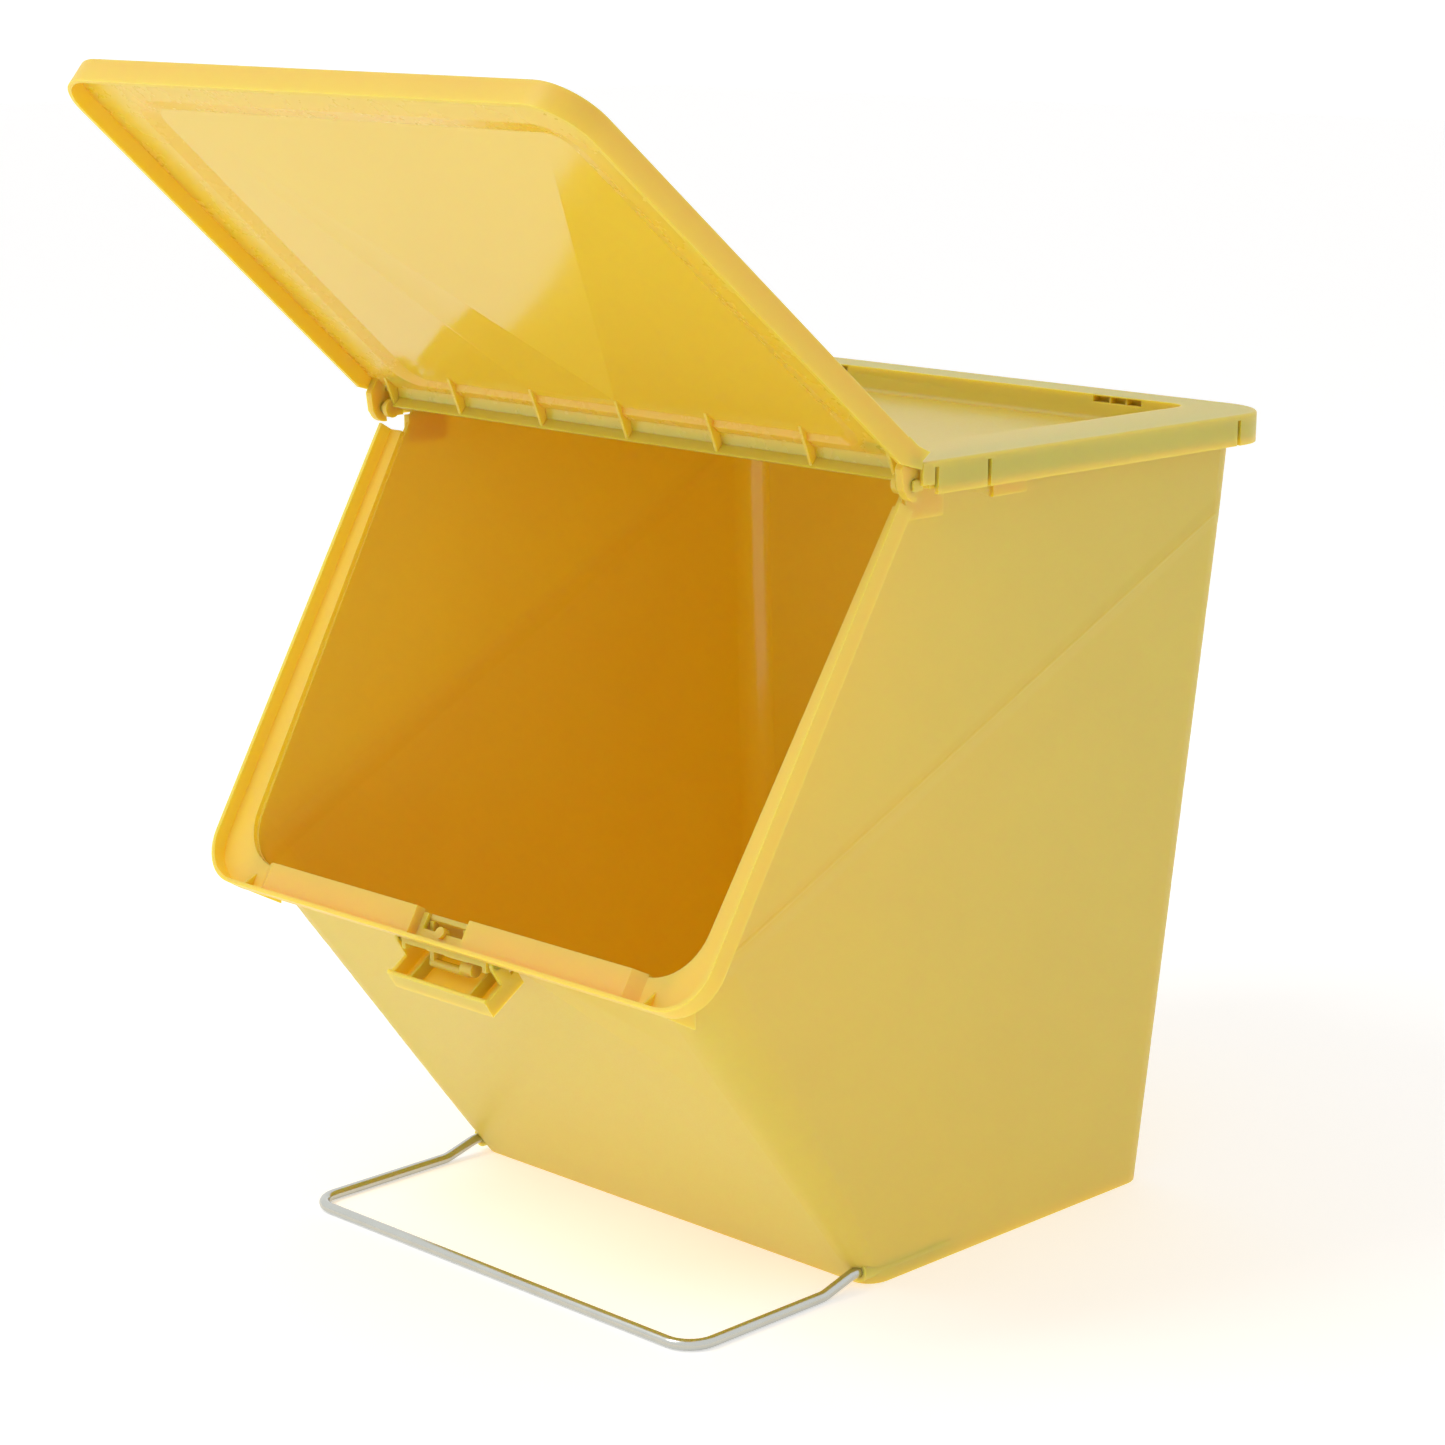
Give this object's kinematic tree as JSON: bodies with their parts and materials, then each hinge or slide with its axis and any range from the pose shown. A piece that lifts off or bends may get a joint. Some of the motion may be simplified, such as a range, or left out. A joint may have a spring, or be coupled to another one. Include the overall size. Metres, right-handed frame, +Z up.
{
  "type": "stacking waste container",
  "caption": "Front-opening stacking waste container with a push-on top cover, a hinged flap lid, a latch lever and a pull-out bent-wire floor stand.",
  "frame": {"origin": "centre of the flat base, on its underside", "axes": "+Z up out of the base, mouth and lid face -Y, +X to the right when seen from behind the mouth looking along +Y"},
  "size_m": [0.4064, 0.5295, 0.6359],
  "materials": {
    "moulded_shell": "fine satin outside, glossier inside",
    "moulded_cover": "fine satin",
    "moulded_lid": "satin rim with a glossy inner panel",
    "moulded_latch": "fine satin",
    "zinc_wire": "bright zinc plated drawn wire"
  },
  "bodies": {
    "bin": {"tub": "moulded_shell"},
    "cover": {"top_cover": "moulded_cover"},
    "lid": {"lid": "moulded_lid"},
    "latch": {"latch_lever": "moulded_latch"},
    "stand": {"wire_stand": "zinc_wire"}
  },
  "joints": [
    {"name": "cover_lift", "type": "slide", "parent": "bin", "child": "cover", "axis": [0, 0, 1], "range_m": [0, 0.04]},
    {"name": "lid_hinge", "type": "hinge", "parent": "cover", "child": "lid", "pos_m": [0, -0.1534, 0.4385], "axis": [1, 0, 0], "range_deg": [0, 99.1]},
    {"name": "latch_pivot", "type": "hinge", "parent": "bin", "child": "latch", "pos_m": [0, -0.28196, 0.18696], "axis": [-1, 0, 0], "range_deg": [0, 52]},
    {"name": "stand_slide", "type": "slide", "parent": "bin", "child": "stand", "axis": [0, -1, 0], "range_m": [0, 0.05]}
  ]
}
